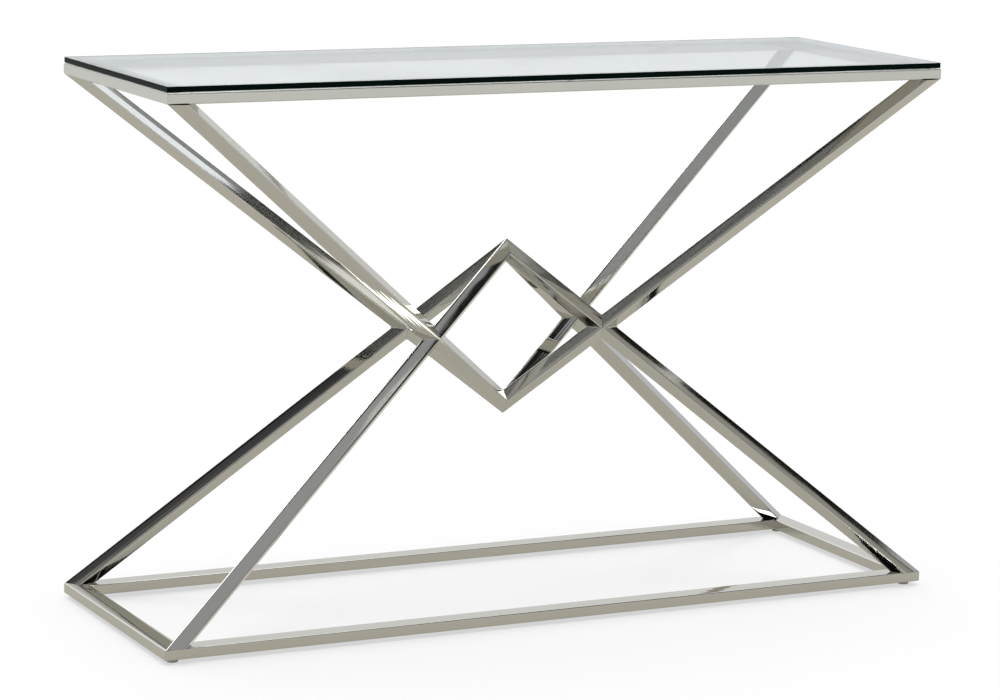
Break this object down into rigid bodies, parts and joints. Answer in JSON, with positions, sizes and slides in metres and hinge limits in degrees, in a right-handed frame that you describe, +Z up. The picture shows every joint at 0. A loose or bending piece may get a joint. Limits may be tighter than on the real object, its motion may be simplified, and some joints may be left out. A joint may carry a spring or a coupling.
{
  "type": "console table",
  "caption": "Console table with a rectangular clear glass top on a polished steel tube frame of two crossed pyramids that form a diamond, on screw-in levelling feet.",
  "frame": {"origin": "on the floor under the middle of the table", "axes": "+X along the length, +Y to the back, +Z up; the front is -Y"},
  "size_m": [1.2, 0.4112, 0.78],
  "materials": {
    "polished_steel": "mirror-polished stainless steel tube, welded and dressed joints",
    "clear_glass": "clear tempered float glass with polished edges, dark green seen edge-on",
    "clear_vinyl": "clear soft vinyl pad",
    "zinc_steel": "bright zinc-plated steel",
    "grey_nylon": "moulded light grey nylon"
  },
  "bodies": {
    "table": {"top_rail_front": "polished_steel", "top_rail_right": "polished_steel", "top_rail_back": "polished_steel", "top_rail_left": "polished_steel", "base_rail_front": "polished_steel", "base_rail_right": "polished_steel", "base_rail_back": "polished_steel", "base_rail_left": "polished_steel", "upper_leg_front_left": "polished_steel", "lower_leg_front_left": "polished_steel", "diamond_bar_front_left": "polished_steel", "upper_leg_front_right": "polished_steel", "lower_leg_front_right": "polished_steel", "diamond_bar_front_right": "polished_steel", "upper_leg_back_left": "polished_steel", "lower_leg_back_left": "polished_steel", "diamond_bar_back_left": "polished_steel", "upper_leg_back_right": "polished_steel", "lower_leg_back_right": "polished_steel", "diamond_bar_back_right": "polished_steel", "glass_top": "clear_glass", "glass_pad_front_left": "clear_vinyl", "glass_pad_front_right": "clear_vinyl", "glass_pad_back_left": "clear_vinyl", "glass_pad_back_right": "clear_vinyl", "glass_pad_front_middle": "clear_vinyl", "glass_pad_back_middle": "clear_vinyl", "foot_bush_front_left": "zinc_steel", "foot_bush_front_right": "zinc_steel", "foot_bush_back_left": "zinc_steel", "foot_bush_back_right": "zinc_steel"},
    "foot_stud_front_left": {"foot_stud_front_left": "zinc_steel"},
    "foot_pad_front_left": {"foot_pad_front_left": "grey_nylon"},
    "foot_stud_front_right": {"foot_stud_front_right": "zinc_steel"},
    "foot_pad_front_right": {"foot_pad_front_right": "grey_nylon"},
    "foot_stud_back_left": {"foot_stud_back_left": "zinc_steel"},
    "foot_pad_back_left": {"foot_pad_back_left": "grey_nylon"},
    "foot_stud_back_right": {"foot_stud_back_right": "zinc_steel"},
    "foot_pad_back_right": {"foot_pad_back_right": "grey_nylon"}
  },
  "joints": [
    {"name": "foot_travel_front_left", "type": "slide", "parent": "table", "child": "foot_stud_front_left", "axis": [0, 0, -1], "range_m": [0, 0.008]},
    {"name": "foot_turn_front_left", "type": "hinge", "parent": "foot_stud_front_left", "child": "foot_pad_front_left", "pos_m": [-0.583, -0.183, 0], "axis": [0, 0, 1], "range_deg": [-5, 2309]},
    {"name": "foot_travel_front_right", "type": "slide", "parent": "table", "child": "foot_stud_front_right", "axis": [0, 0, -1], "range_m": [0, 0.008]},
    {"name": "foot_turn_front_right", "type": "hinge", "parent": "foot_stud_front_right", "child": "foot_pad_front_right", "pos_m": [0.583, -0.183, 0], "axis": [0, 0, 1], "range_deg": [-5, 2309]},
    {"name": "foot_travel_back_left", "type": "slide", "parent": "table", "child": "foot_stud_back_left", "axis": [0, 0, -1], "range_m": [0, 0.008]},
    {"name": "foot_turn_back_left", "type": "hinge", "parent": "foot_stud_back_left", "child": "foot_pad_back_left", "pos_m": [-0.583, 0.183, 0], "axis": [0, 0, 1], "range_deg": [-5, 2309]},
    {"name": "foot_travel_back_right", "type": "slide", "parent": "table", "child": "foot_stud_back_right", "axis": [0, 0, -1], "range_m": [0, 0.008]},
    {"name": "foot_turn_back_right", "type": "hinge", "parent": "foot_stud_back_right", "child": "foot_pad_back_right", "pos_m": [0.583, 0.183, 0], "axis": [0, 0, 1], "range_deg": [-5, 2309]}
  ],
  "couplings": [
    {"joint": "foot_turn_front_left", "follows": "foot_travel_front_left", "rad_per_m": 5026.5},
    {"joint": "foot_turn_front_right", "follows": "foot_travel_front_right", "rad_per_m": 5026.5},
    {"joint": "foot_turn_back_left", "follows": "foot_travel_back_left", "rad_per_m": 5026.5},
    {"joint": "foot_turn_back_right", "follows": "foot_travel_back_right", "rad_per_m": 5026.5}
  ]
}
